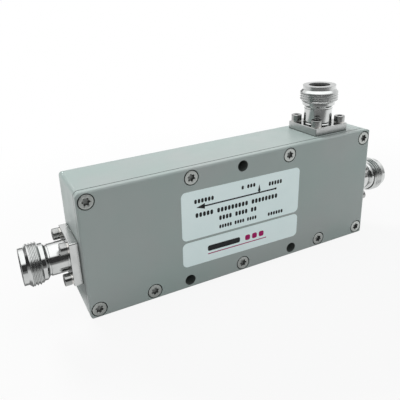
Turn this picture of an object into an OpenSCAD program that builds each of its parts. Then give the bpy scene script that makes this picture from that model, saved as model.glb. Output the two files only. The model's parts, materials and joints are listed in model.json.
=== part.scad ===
// Directional coupler: a machined housing with a screwed front cover, three coaxial jacks
// on square flanges, a main line and a coupled line inside, and a load on the coupled line.
// Origin at the middle of the bottom face, length along X, cover towards -Y, coupled port up.

/* [Housing] */
// Length of the housing between its end faces
body_l = 132; // [126:1:150]
// Height of the housing
body_h = 50.5; // [49:0.5:58]
// Depth of the housing with its cover
body_d = 25.5; // [24.5:0.5:30]
// Thickness of the front cover
cover_t = 3; // [2.8:0.1:3.6]
// Thickness of the back wall
back_wall = 2.2; // [1.8:0.1:3]
// Width of the rim around the cavity
rim_w = 7.5; // [7:0.1:8.2]
// Corner radius of the front outline
corner_r = 2; // [1.2:0.1:2.6]
// Radius of the other outside edges
edge_r = 0.9; // [0.5:0.1:1.2]
// Corner radius of the cavity
cavity_r = 4; // [2.5:0.5:5]
// Width of the groove that runs round the seam of the cover
seam_w = 0.25; // [0.1:0.05:0.5]
// Depth of the groove that runs round the seam of the cover
seam_deep = 0.4; // [0.2:0.05:0.8]

/* [Cover screws] */
// Distance of the cover screws and mounting holes from the edges
screw_inset = 3.6; // [3.4:0.1:3.9]
// Distance of the inner top screws from the middle
top_screw_x = 22.5; // [16:0.5:28]
// Distance of the inner bottom screws from the middle
bottom_screw_x = 40.1; // [34:0.5:46]
// Thread diameter of a cover screw
cover_screw_d = 3; // [2.5:0.1:3]
// Length of a cover screw below its head
cover_screw_l = 10; // [8:0.5:12]
// Head diameter of a cover screw
cover_head_d = 5.4; // [5.2:0.1:5.6]
// Head height of a cover screw
cover_head_h = 2; // [1.7:0.1:2.1]
// Gap around a cover screw head in its counterbore
cover_head_gap = 0.4; // [0.2:0.05:0.4]
// Point to point width of the six-lobe recess
lobe_w = 3.2; // [3:0.1:3.4]
// Diameter of the core between the lobes
lobe_core_d = 2.3; // [2.1:0.05:2.4]
// Diameter of a lobe
lobe_tip_d = 0.85; // [0.7:0.05:0.9]
// Depth of the six-lobe recess
lobe_deep = 1.2; // [0.8:0.1:1.4]

/* [Mounting holes] */
// Diameter of a mounting hole through the housing
mount_hole_d = 4.5; // [4:0.1:4.8]
// Distance of the lower mounting holes from the middle
mount_hole_x = 24.75; // [20:0.25:30]

/* [Ports] */
// Height of the end jacks above the bottom face
port_z = 21.7; // [20:0.1:23]
// Distance of the coupled jack from the input end face
coupled_inset = 18; // [16:0.5:22]
// Side of the square jack flange
flange_w = 17.5; // [17:0.1:18]
// Thickness of the jack flange
flange_t = 3; // [2.6:0.1:3.4]
// Corner radius of the jack flange
flange_r = 0.6; // [0.3:0.1:1.2]
// Spacing of the flange screws
flange_pitch = 12.7; // [12.4:0.1:12.9]
// Thickness of the flange gasket
gasket_t = 0.4; // [0.3:0.05:0.6]
// Length of the jack from the end face to its mouth
jack_l = 20; // [19.4:0.1:21]
// Thread diameter of the jack
thread_d = 15.88; // [15.8:0.01:15.9]
// Length of the threaded part
thread_l = 4; // [3.4:0.1:4.4]
// Diameter of the nose in front of the thread
nose_d = 13.75; // [13.2:0.05:14]
// Length of the nose
nose_l = 1.7; // [1.3:0.1:1.9]
// Length of the cone between nose and thread
cone_l = 1.1; // [0.8:0.1:1.3]
// Diameter of the smooth collar behind the thread
collar_d = 13.9; // [13.4:0.1:14.4]
// Length of the smooth collar
collar_l = 1.6; // [1.2:0.1:1.8]
// Diameter of the plain barrel
barrel_d = 12; // [11.6:0.1:12.4]
// Width of the groove behind the collar
groove_w = 0.7; // [0.4:0.1:1]
// Depth of the groove behind the collar
groove_deep = 0.3; // [0.1:0.05:0.4]
// Diameter of the mating bore
mouth_d = 8.1; // [8:0.02:8.2]
// Depth of the mating bore
mouth_deep = 9.1; // [8.8:0.1:9.4]
// Diameter at the flared mouth
flare_d = 8.9; // [8.7:0.1:9.1]
// Depth of the flare
flare_deep = 0.9; // [0.6:0.1:1.2]

/* [Flange screws] */
// Thread diameter of a flange screw
flange_screw_d = 2.5; // [2.3:0.1:2.6]
// Length of a flange screw below its head
flange_screw_l = 8; // [7:0.5:8.5]
// Head diameter of a flange screw
flange_head_d = 4.5; // [4.2:0.1:4.6]
// Head height of a flange screw
flange_head_h = 2.5; // [2.2:0.1:2.7]
// Width across flats of the socket in a flange screw
socket_w = 2; // [1.8:0.1:2.1]
// Depth of the socket in a flange screw
socket_deep = 1.2; // [1:0.1:1.4]
// Outer diameter of a lock washer
washer_d = 4.4; // [4.2:0.1:4.6]
// Thickness of a lock washer
washer_t = 0.6; // [0.5:0.05:0.7]
// Width of the split in a lock washer
washer_split = 0.5; // [0.3:0.05:0.6]

/* [Insulators and contacts] */
// Diameter of an insulator inside the jack
insulator_d = 7; // [6.6:0.1:7.2]
// Diameter of an insulator through the wall
insulator_neck_d = 6; // [5.6:0.1:6.2]
// Height of the insulator front above the end face
insulator_front = 9; // [8:0.1:10]
// Length of an insulator standing into the cavity
insulator_tail = 1; // [0.8:0.1:1.4]
// Diameter of the contact socket
contact_d = 3.04; // [3:0.02:3.1]
// Bore of the contact socket
contact_bore = 1.65; // [1.6:0.05:1.7]
// Height of the contact tip above the end face
contact_tip = 15.2; // [14.8:0.1:15.6]
// Depth of the bore and slots in the contact socket
contact_slot_deep = 4.6; // [4:0.1:5]
// Width of a slot in the contact socket
contact_slot = 0.3; // [0.2:0.05:0.4]
// Diameter of the contact pin through the insulator
pin_d = 2; // [1.8:0.1:2.2]
// Length of the contact pin inside a line
pin_in = 4; // [3:0.1:4.5]

/* [Lines] */
// Depth of the main line
main_d = 5; // [4.4:0.1:5.6]
// Height of the main line
main_h = 6; // [5.4:0.1:6.4]
// Depth of the coupled line
coupled_d = 4; // [3.6:0.1:4.6]
// Height of the coupled line
coupled_h = 4; // [3.6:0.1:4.4]
// Width of the uprights of the coupled line
upright_w = 5; // [4.4:0.1:5.6]
// Gap between the lines in the middle section
gap_mid = 2; // [1.4:0.1:2.4]
// Gap between the lines in the end sections
gap_end = 4; // [3.4:0.1:4.4]
// Half length of the middle section
step_x = 16; // [12:0.5:20]
// Distance of the line supports from the middle
support_x = 31; // [26:0.5:32]
// Thickness of a line support
support_t = 5; // [4:0.1:6]
// Material of a support above the coupled line
support_cap = 3; // [2:0.1:3.4]

/* [Load] */
// Distance of the load from the end of the coupled line
load_off = 8; // [7:0.1:9]
// Length of the load base across the cavity
load_base_l = 17; // [16:0.1:18]
// Width of the load base
load_base_w = 8; // [7:0.1:8.6]
// Thickness of the load base
load_base_t = 2; // [1.6:0.1:2.4]
// Side of the load chip
load_chip_w = 6; // [5:0.1:6.4]
// Thickness of the load chip
load_chip_t = 1.8; // [1.4:0.1:2]
// Width of the load tab
load_tab_w = 2.5; // [2:0.1:3]
// Thickness of the load tab
load_tab_t = 0.3; // [0.2:0.05:0.4]
// Thread diameter of a load screw
load_screw_d = 2; // [1.8:0.1:2.2]
// Head diameter of a load screw
load_head_d = 3.6; // [3.2:0.1:4]
// Head height of a load screw
load_head_h = 1.4; // [1:0.1:1.6]
// Width of the slot in a load screw
load_slot_w = 0.6; // [0.4:0.05:0.8]
// Depth of the slot in a load screw
load_slot_deep = 0.7; // [0.4:0.05:0.8]
// Length of a load screw in the housing
load_screw_in = 3.5; // [3:0.1:4]
// Spacing of the load screws
load_pitch = 12; // [11.6:0.1:12.4]

/* [Labels] */
// Length of the labels
label_l = 55; // [50:0.5:58]
// Height of the upper label
upper_h = 20.2; // [18:0.1:21]
// Height of the lower label
lower_h = 10.5; // [9:0.1:11]
// Gap between the two labels
label_gap = 1; // [0.6:0.1:1.4]
// Corner radius of the labels
label_r = 2; // [1:0.1:2.6]
// Thickness of the labels
label_t = 0.15; // [0.1:0.05:0.25]
// Height of the gap between the labels above the bottom face
label_z = 20.4; // [20:0.1:22]
// Angle at which the labels are stuck on
label_tilt = 0.8; // [0:0.1:1.2]

/* [Fits] */
// Radial clearance between pieces that slide together
fit = 0.05; // [0.03:0.01:0.08]
// Depth of a tapped hole beyond its screw
tap_extra = 1; // [0.6:0.1:1.4]
// Clearance of a screw in a plain hole
screw_play = 0.1; // [0.08:0.01:0.15]

/* [Hidden] */
$fn = 40;
front_y = -body_d / 2;
back_y = body_d / 2;
seam_y = front_y + cover_t;
seam_l = body_l - 2 * seam_deep;
seam_h = body_h - 2 * seam_deep;
cavity_back = back_y - back_wall;
cavity_l = body_l - 2 * rim_w;
cavity_h = body_h - 2 * rim_w;
cavity_top = body_h - rim_w;
line_y = (seam_y + cavity_back) / 2;
coupled_x = body_l / 2 - coupled_inset;
screw_end_x = body_l / 2 - screw_inset;
head_seat_y = front_y + cover_head_h;
screw_tip_y = head_seat_y + cover_screw_l;
screw_top_z = body_h - screw_inset;
flange_top = gasket_t + flange_t;
thread_top = jack_l - nose_l - cone_l;
thread_foot = thread_top - thread_l;
collar_foot = thread_foot - collar_l;
groove_top = collar_foot - (collar_d - barrel_d) / 2;
shoulder_s = jack_l - mouth_deep;
insulator_end = rim_w + insulator_tail;
main_l = cavity_l - 2 * insulator_tail;
end_low = port_z + main_h / 2 + gap_end;
mid_low = port_z + main_h / 2 + gap_mid;
coupled_top = cavity_top - insulator_tail;
load_x = load_off - coupled_x;
load_low = cavity_top - load_base_t;
chip_low = load_low - load_chip_t;
tab_low = chip_low - load_tab_t;
support_h = end_low + coupled_h + support_cap - rim_w;
cut = 1;

// Positions along X of the screws in the top row and in the bottom row.
top_row = [-screw_end_x, -top_screw_x, top_screw_x, screw_end_x];
bottom_row = [-screw_end_x, -bottom_screw_x, 0, bottom_screw_x, screw_end_x];

// Rectangle with round corners, centred.
module round_rect(l, h, r) {
    union() {
        square([l - 2 * r, h], center = true);
        square([l, h - 2 * r], center = true);
        for (sx = [-1, 1], sy = [-1, 1])
            translate([sx * (l / 2 - r), sy * (h / 2 - r)])
                circle(r);
    }
}

// Outside form of housing and cover together, edges rounded along each direction.
module outside() {
    intersection() {
        translate([0, back_y, body_h / 2])
            rotate([90, 0, 0])
                linear_extrude(body_d)
                    round_rect(body_l, body_h, corner_r);
        linear_extrude(body_h)
            round_rect(body_l, body_d, edge_r);
        translate([-body_l / 2, 0, body_h / 2])
            rotate([90, 0, 90])
                linear_extrude(body_l)
                    round_rect(body_d, body_h, edge_r);
    }
}

// Hole along Y from y0 to y1.
module hole_y(d, y0, y1) {
    translate([0, y1, 0])
        rotate([90, 0, 0])
            cylinder(d = d, h = y1 - y0);
}

// Puts children at every cover screw.
module at_cover_screws() {
    for (x = top_row)
        translate([x, 0, screw_top_z])
            children();
    for (x = bottom_row)
        translate([x, 0, screw_inset])
            children();
}

// Puts children at every mounting hole.
module at_mount_holes() {
    translate([0, 0, screw_top_z])
        children();
    for (s = [-1, 1])
        translate([s * mount_hole_x, 0, screw_inset])
            children();
}

// Frames of the three ports, Z pointing out of the housing.
module at_output() {
    translate([-body_l / 2, line_y, port_z])
        rotate([0, -90, 0])
            children();
}

module at_input() {
    translate([body_l / 2, line_y, port_z])
        rotate([0, 90, 0])
            children();
}

module at_coupled() {
    translate([coupled_x, line_y, body_h])
        children();
}

module at_ports() {
    at_output()
        children();
    at_input()
        children();
    at_coupled()
        children();
}

// Puts children at the four screws of a flange.
module at_flange_screws() {
    for (sx = [-1, 1], sy = [-1, 1])
        translate([sx * flange_pitch / 2, sy * flange_pitch / 2, 0])
            children();
}

// Milled housing, open to the front, with wall bores and tapped holes.
module housing() {
    color([0.53, 0.57, 0.55])
        difference() {
            intersection() {
                outside();
                translate([-body_l, seam_y, -cut])
                    cube([2 * body_l, body_d, body_h + 2 * cut]);
            }
            translate([0, cavity_back, body_h / 2])
                rotate([90, 0, 0])
                    linear_extrude(cavity_back - seam_y + cut)
                        round_rect(cavity_l, cavity_h, cavity_r);
            at_cover_screws()
                hole_y(cover_screw_d + 2 * fit, seam_y - cut, screw_tip_y + tap_extra);
            at_mount_holes()
                hole_y(mount_hole_d, seam_y - cut, back_y + cut);
            at_ports() {
                translate([0, 0, -rim_w - cut])
                    cylinder(d = insulator_neck_d + 2 * fit, h = rim_w + 2 * cut);
                at_flange_screws()
                    translate([0, 0, flange_top + washer_t - flange_screw_l - tap_extra])
                        cylinder(d = flange_screw_d + 2 * fit, h = flange_screw_l + tap_extra);
            }
            for (s = [-1, 1])
                translate([load_x, line_y + s * load_pitch / 2, cavity_top - cut])
                    cylinder(d = load_screw_d + 2 * fit, h = load_screw_in + tap_extra + cut);
        }
}

// Front cover with counterbored screw holes, set in a little at its back edge along the seam.
module cover() {
    color([0.53, 0.57, 0.55])
        difference() {
            union() {
                intersection() {
                    outside();
                    translate([-body_l, front_y - cut, -cut])
                        cube([2 * body_l, cover_t - seam_w + cut, body_h + 2 * cut]);
                }
                translate([0, seam_y, body_h / 2])
                    rotate([90, 0, 0])
                        linear_extrude(cover_t / 2)
                            round_rect(seam_l, seam_h, corner_r - seam_deep);
            }
            at_cover_screws() {
                hole_y(cover_screw_d + 2 * screw_play, front_y - cut, seam_y + cut);
                hole_y(cover_head_d + 2 * cover_head_gap, front_y - cut, head_seat_y);
            }
            at_mount_holes()
                hole_y(mount_hole_d, front_y - cut, seam_y + cut);
        }
}

// Six-lobe outline for the driver.
module lobes() {
    union() {
        circle(d = lobe_core_d);
        for (i = [0:5])
            rotate(i * 60)
                translate([(lobe_w - lobe_tip_d) / 2, 0])
                    circle(d = lobe_tip_d);
    }
}

// Cover screws, heads flush with the cover.
module cover_screws() {
    color([0.62, 0.62, 0.58])
        at_cover_screws()
            difference() {
                union() {
                    hole_y(cover_head_d, front_y, head_seat_y);
                    hole_y(cover_screw_d, front_y + lobe_deep, screw_tip_y);
                }
                translate([0, front_y + lobe_deep, 0])
                    rotate([90, 0, 0])
                        linear_extrude(lobe_deep + cut)
                            lobes();
            }
}

// Thin sheet gasket under a flange.
module gasket() {
    difference() {
        linear_extrude(gasket_t)
            round_rect(flange_w, flange_w, flange_r);
        translate([0, 0, -cut])
            cylinder(d = insulator_d + 2 * screw_play, h = gasket_t + 2 * cut);
        at_flange_screws()
            translate([0, 0, -cut])
                cylinder(d = flange_screw_d + 2 * screw_play, h = gasket_t + 2 * cut);
    }
}

module output_gasket() {
    color([0.2, 0.2, 0.2])
        at_output()
            gasket();
}

module input_gasket() {
    color([0.2, 0.2, 0.2])
        at_input()
            gasket();
}

module coupled_gasket() {
    color([0.2, 0.2, 0.2])
        at_coupled()
            gasket();
}

// Jack turned from one bar: square flange, barrel, collar, thread and nose.
module jack() {
    difference() {
        union() {
            translate([0, 0, gasket_t])
                linear_extrude(flange_t)
                    round_rect(flange_w, flange_w, flange_r);
            rotate_extrude($fn = 64)
                polygon([
                    [0, gasket_t],
                    [barrel_d / 2, gasket_t],
                    [barrel_d / 2, groove_top - groove_w],
                    [barrel_d / 2 - groove_deep, groove_top - groove_w],
                    [barrel_d / 2 - groove_deep, groove_top],
                    [barrel_d / 2, groove_top],
                    [collar_d / 2, collar_foot],
                    [collar_d / 2, thread_foot],
                    [thread_d / 2, thread_foot],
                    [thread_d / 2, thread_top],
                    [nose_d / 2, thread_top + cone_l],
                    [nose_d / 2, jack_l],
                    [0, jack_l]
                ]);
        }
        rotate_extrude($fn = 64)
            polygon([
                [0, gasket_t - cut],
                [insulator_d / 2 + fit, gasket_t - cut],
                [insulator_d / 2 + fit, shoulder_s],
                [mouth_d / 2, shoulder_s],
                [mouth_d / 2, jack_l - flare_deep],
                [flare_d / 2, jack_l],
                [flare_d / 2, jack_l + cut],
                [0, jack_l + cut]
            ]);
        at_flange_screws()
            translate([0, 0, gasket_t - cut])
                cylinder(d = flange_screw_d + 2 * screw_play, h = flange_t + 2 * cut);
    }
}

module output_jack() {
    color([0.8, 0.8, 0.78])
        at_output()
            jack();
}

module input_jack() {
    color([0.8, 0.8, 0.78])
        at_input()
            jack();
}

module coupled_jack() {
    color([0.8, 0.8, 0.78])
        at_coupled()
            jack();
}

// Insulator with a shoulder seated on the housing face.
module insulator() {
    difference() {
        union() {
            cylinder(d = insulator_d, h = insulator_front);
            translate([0, 0, -insulator_end])
                cylinder(d = insulator_neck_d, h = insulator_end + cut);
        }
        translate([0, 0, -insulator_end - cut])
            cylinder(d = pin_d + 2 * fit, h = insulator_end + insulator_front + 2 * cut);
    }
}

module output_insulator() {
    color([0.95, 0.95, 0.92])
        at_output()
            insulator();
}

module input_insulator() {
    color([0.95, 0.95, 0.92])
        at_input()
            insulator();
}

module coupled_insulator() {
    color([0.95, 0.95, 0.92])
        at_coupled()
            insulator();
}

// Centre contact: slotted socket in front, pin behind.
module contact() {
    difference() {
        union() {
            translate([0, 0, insulator_front])
                cylinder(d = contact_d, h = contact_tip - insulator_front);
            translate([0, 0, -insulator_end - pin_in])
                cylinder(d = pin_d, h = insulator_end + pin_in + insulator_front + cut);
        }
        translate([0, 0, contact_tip - contact_slot_deep])
            cylinder(d = contact_bore, h = contact_slot_deep + cut);
        for (a = [0, 90])
            rotate(a)
                translate([-contact_d, -contact_slot / 2, contact_tip - contact_slot_deep])
                    cube([2 * contact_d, contact_slot, contact_slot_deep + cut]);
    }
}

module output_contact() {
    color([0.85, 0.68, 0.3])
        at_output()
            contact();
}

module input_contact() {
    color([0.85, 0.68, 0.3])
        at_input()
            contact();
}

module coupled_contact() {
    color([0.85, 0.68, 0.3])
        at_coupled()
            contact();
}

// Socket head screws through the flanges.
module flange_screws() {
    color([0.7, 0.7, 0.68])
        at_ports()
            at_flange_screws()
                translate([0, 0, flange_top + washer_t])
                    difference() {
                        union() {
                            cylinder(d = flange_head_d, h = flange_head_h);
                            translate([0, 0, -flange_screw_l])
                                cylinder(d = flange_screw_d, h = flange_screw_l + cut);
                        }
                        translate([0, 0, flange_head_h - socket_deep])
                            cylinder(d = socket_w / cos(30), h = socket_deep + cut, $fn = 6);
                    }
}

// Split washers under the flange screw heads.
module lock_washers() {
    color([0.6, 0.6, 0.58])
        at_ports()
            at_flange_screws()
                translate([0, 0, flange_top])
                    difference() {
                        cylinder(d = washer_d, h = washer_t);
                        translate([0, 0, -cut])
                            cylinder(d = flange_screw_d + 2 * screw_play, h = washer_t + 2 * cut);
                        translate([0, -washer_split / 2, -cut])
                            cube([washer_d, washer_split, washer_t + 2 * cut]);
                    }
}

// Main line, a bar between the two end contacts.
module main_line() {
    color([0.82, 0.82, 0.8])
        difference() {
            translate([-main_l / 2, line_y - main_d / 2, port_z - main_h / 2])
                cube([main_l, main_d, main_h]);
            for (s = [-1, 1])
                translate([s * (main_l / 2 - (pin_in + tap_extra) / 2 + cut / 2), line_y, port_z])
                    rotate([0, 90, 0])
                        cylinder(d = pin_d + 2 * fit, h = pin_in + tap_extra + cut, center = true);
        }
}

// Coupled line: stepped bar with an upright to the coupled contact and one to the load.
module coupled_line() {
    out_x = coupled_x + upright_w / 2;
    in_x = coupled_x - upright_w / 2;
    color([0.82, 0.82, 0.8])
        difference() {
            translate([0, line_y + coupled_d / 2, 0])
                rotate([90, 0, 0])
                    linear_extrude(coupled_d)
                        polygon([
                            [-out_x, end_low],
                            [-step_x, end_low],
                            [-step_x, mid_low],
                            [step_x, mid_low],
                            [step_x, end_low],
                            [out_x, end_low],
                            [out_x, coupled_top],
                            [in_x, coupled_top],
                            [in_x, end_low + coupled_h],
                            [step_x, end_low + coupled_h],
                            [step_x, mid_low + coupled_h],
                            [-step_x, mid_low + coupled_h],
                            [-step_x, end_low + coupled_h],
                            [-in_x, end_low + coupled_h],
                            [-in_x, tab_low],
                            [-out_x, tab_low]
                        ]);
            translate([coupled_x, line_y, coupled_top - pin_in - tap_extra])
                cylinder(d = pin_d + 2 * fit, h = pin_in + tap_extra + cut);
        }
}

// Supports that carry both lines, slots open to the cover.
module line_supports() {
    color([0.95, 0.95, 0.92])
        for (s = [-1, 1])
            difference() {
                translate([s * support_x - support_t / 2, seam_y, rim_w])
                    cube([support_t, cavity_back - seam_y, support_h]);
                translate([s * support_x - support_t, seam_y - cut, port_z - main_h / 2])
                    cube([2 * support_t, line_y + main_d / 2 - seam_y + cut, main_h]);
                translate([s * support_x - support_t, seam_y - cut, end_low])
                    cube([2 * support_t, line_y + coupled_d / 2 - seam_y + cut, coupled_h]);
            }
}

// Metal base of the load, screwed to the top wall from inside.
module load_base() {
    color([0.75, 0.55, 0.35])
        difference() {
            translate([load_x - load_base_w / 2, line_y - load_base_l / 2, load_low])
                cube([load_base_w, load_base_l, load_base_t]);
            for (s = [-1, 1])
                translate([load_x, line_y + s * load_pitch / 2, load_low - cut])
                    cylinder(d = load_screw_d + 2 * screw_play, h = load_base_t + 2 * cut);
        }
}

// Ceramic chip of the load.
module load_chip() {
    color([0.93, 0.93, 0.9])
        translate([load_x - load_chip_w / 2, line_y - load_chip_w / 2, chip_low])
            cube([load_chip_w, load_chip_w, load_chip_t]);
}

// Flat tab from the chip to the end of the coupled line.
module load_tab() {
    color([0.85, 0.68, 0.3])
        translate([-coupled_x - upright_w / 2, line_y - load_tab_w / 2, tab_low])
            cube([load_off + upright_w / 2, load_tab_w, load_tab_t]);
}

// Two slotted screws that hold the load base.
module load_screws() {
    color([0.7, 0.7, 0.68])
        for (s = [-1, 1])
            translate([load_x, line_y + s * load_pitch / 2, load_low])
                difference() {
                    union() {
                        translate([0, 0, -load_head_h])
                            cylinder(d = load_head_d, h = load_head_h);
                        translate([0, 0, -cut / 2])
                            cylinder(d = load_screw_d, h = load_base_t + load_screw_in + cut / 2);
                    }
                    translate([-load_head_d, -load_slot_w / 2, -load_head_h - cut])
                        cube([2 * load_head_d, load_slot_w, load_slot_deep + cut]);
                }
}

// Label stuck on the cover, its middle z0 above the gap between the labels.
module label(h, z0) {
    translate([0, front_y, label_z])
        rotate([0, label_tilt, 0])
            translate([0, 0, z0])
                rotate([90, 0, 0])
                    linear_extrude(label_t)
                        round_rect(label_l, h, label_r);
}

module label_upper() {
    color([0.77, 0.81, 0.81])
        label(upper_h, (label_gap + upper_h) / 2);
}

module label_lower() {
    color([0.77, 0.81, 0.81])
        label(lower_h, -(label_gap + lower_h) / 2);
}

housing();
cover();
cover_screws();
output_gasket();
input_gasket();
coupled_gasket();
output_jack();
input_jack();
coupled_jack();
output_insulator();
input_insulator();
coupled_insulator();
output_contact();
input_contact();
coupled_contact();
flange_screws();
lock_washers();
main_line();
coupled_line();
line_supports();
load_base();
load_chip();
load_tab();
load_screws();
label_upper();
label_lower();
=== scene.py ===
"""Looks of a coaxial coupler: paint, plating, threads, screws, labels and a plain studio."""

from __future__ import annotations

import json
import logging
import math
from dataclasses import dataclass
from enum import Enum

import bmesh
import bpy
from bmesh.types import BMEdge, BMesh, BMVert
from bpy.types import Material, Node, NodeSocket, Object, World
from mathutils import Matrix, Vector

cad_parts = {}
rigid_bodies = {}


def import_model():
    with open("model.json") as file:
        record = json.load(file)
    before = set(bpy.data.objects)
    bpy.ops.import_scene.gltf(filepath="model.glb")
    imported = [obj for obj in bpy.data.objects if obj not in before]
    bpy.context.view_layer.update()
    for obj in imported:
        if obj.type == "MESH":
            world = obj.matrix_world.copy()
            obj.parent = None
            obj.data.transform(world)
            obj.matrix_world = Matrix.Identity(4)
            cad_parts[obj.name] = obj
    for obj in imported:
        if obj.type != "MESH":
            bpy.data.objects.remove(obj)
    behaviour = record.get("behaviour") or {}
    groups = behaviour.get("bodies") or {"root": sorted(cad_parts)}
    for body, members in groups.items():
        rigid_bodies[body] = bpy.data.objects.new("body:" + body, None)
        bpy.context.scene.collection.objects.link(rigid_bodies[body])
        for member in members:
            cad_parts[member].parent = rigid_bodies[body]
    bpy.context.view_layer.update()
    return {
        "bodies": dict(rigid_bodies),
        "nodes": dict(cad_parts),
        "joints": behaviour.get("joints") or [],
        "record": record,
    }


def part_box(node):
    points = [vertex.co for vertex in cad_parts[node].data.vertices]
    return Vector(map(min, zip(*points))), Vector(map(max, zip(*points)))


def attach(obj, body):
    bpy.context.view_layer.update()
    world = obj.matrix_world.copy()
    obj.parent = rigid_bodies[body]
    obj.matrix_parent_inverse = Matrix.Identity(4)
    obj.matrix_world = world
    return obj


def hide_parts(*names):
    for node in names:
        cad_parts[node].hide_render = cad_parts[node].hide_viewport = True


LOG = logging.getLogger("coupler")

# Sizes are in millimetres, apart from the studio's and the depth of a relief, which are in metres.
MM = 0.001
WELD = 1e-4
FULL_TURN = 2 * math.pi
QUARTER_TURN = math.pi / 2
SHARP_ANGLE = 40.0
BODY = "root"

# Vertex attributes of turned pieces: the place along the axis, and dullness from 0 to 1, whose highest values
# also darken the colour as painted shade in bores and recesses.
AXIAL = "axial"
DULL_AND_SHADE = "dull"

# The range that the values of a noise fill, and how many finer octaves a noise has.
NOISE_LOW = 0.3
NOISE_HIGH = 0.7
CLOUD_DETAIL = 4.0
GRAIN_DETAIL = 3.0
RELIEF_DETAIL = 2.0

Colour = tuple[float, float, float, float]
Point = tuple[float, float, float]
Spot = tuple[float, float]

WHITE: Colour = (1.0, 1.0, 1.0, 1.0)
ORIGIN: Point = (0.0, 0.0, 0.0)
X_AXIS: Point = (1.0, 0.0, 0.0)
Y_AXIS: Point = (0.0, 1.0, 0.0)
Z_AXIS: Point = (0.0, 0.0, 1.0)


class Slot(Enum):
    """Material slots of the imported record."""

    STEEL = "screw_steel"
    PLATE = "jack_plate"
    LABEL = "label"


class Port(Enum):
    """The three ports, named as their nodes are."""

    OUTPUT = "output"
    INPUT = "input"
    COUPLED = "coupled"


class Drive(Enum):
    """Recess in a screw head."""

    HEX_SOCKET = "hex_socket"
    SIX_LOBE = "six_lobe"


@dataclass(frozen=True)
class Ramp:
    """A run from one result to another while a value passes a range."""

    start: float
    end: float
    low: float = 0.0
    high: float = 1.0


class NodeBench:
    """Adds and joins nodes in the tree of a material or of the world."""

    def __init__(self, owner: Material | World) -> None:
        """Empties the owner's node tree.

        Args:
            owner: Material or world to work on.
        """
        owner.use_nodes = True
        self.tree = owner.node_tree
        self.tree.nodes.clear()

    def add(self, kind: str, values: dict | None = None, **settings: object) -> Node:
        """Adds a node.

        Args:
            kind: Blender's name of the node type.
            values: Constant sockets by name or number.
            settings: Properties of the node.

        Returns:
            The new node.
        """
        node = self.tree.nodes.new(kind)
        for key, value in settings.items():
            setattr(node, key, value)
        for key, value in (values or {}).items():
            node.inputs[key].default_value = value
        return node

    def join(self, source: NodeSocket, target: NodeSocket) -> None:
        """Links an output to an input."""
        self.tree.links.new(source, target)

    def combine(self, operation: str, *terms: NodeSocket | float) -> NodeSocket:
        """Works out a value from other values and constants.

        Args:
            operation: Name of the calculation.
            terms: Values or constants, in the order of the node's inputs.

        Returns:
            The result.
        """
        node = self.add("ShaderNodeMath", operation=operation)
        for term, socket in zip(terms, node.inputs):
            if isinstance(term, NodeSocket):
                self.join(term, socket)
            else:
                socket.default_value = term
        return node.outputs[0]

    def step(self, source: NodeSocket, ramp: Ramp, kind: str = "SMOOTHSTEP") -> NodeSocket:
        """Runs a value through a ramp.

        Args:
            source: Value that drives the ramp.
            ramp: Its range and its results at both ends.
            kind: How it runs between the two.

        Returns:
            The result.
        """
        ends = {"From Min": ramp.start, "From Max": ramp.end, "To Min": ramp.low, "To Max": ramp.high}
        node = self.add("ShaderNodeMapRange", ends, interpolation_type=kind)
        self.join(source, node.inputs["Value"])
        return node.outputs["Result"]

    def measure(self, operation: str, vector: NodeSocket, other: Point | Vector) -> NodeSocket:
        """Measures a vector against a constant one.

        Args:
            operation: Name of the measure.
            vector: Vector to measure.
            other: Constant to measure it against.

        Returns:
            The measure.
        """
        node = self.add("ShaderNodeVectorMath", {1: other}, operation=operation)
        self.join(vector, node.inputs[0])
        return node.outputs["Value"]

    def along(self, vector: NodeSocket, direction: Point | Vector) -> NodeSocket:
        """Returns how far a vector runs along a direction."""
        return self.measure("DOT_PRODUCT", vector, direction)

    def away(self, vector: NodeSocket, place: Point) -> NodeSocket:
        """Returns how far a vector's end lies from a place."""
        return self.measure("DISTANCE", vector, place)

    def blend(self, share: NodeSocket, first: Node, second: Node) -> Node:
        """Mixes two shaders.

        Args:
            share: How much of the second shader shows.
            first: First shader.
            second: Second shader.

        Returns:
            The mix.
        """
        node = self.add("ShaderNodeMixShader")
        self.join(share, node.inputs["Fac"])
        self.join(first.outputs[0], node.inputs[1])
        self.join(second.outputs[0], node.inputs[2])
        return node


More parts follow.
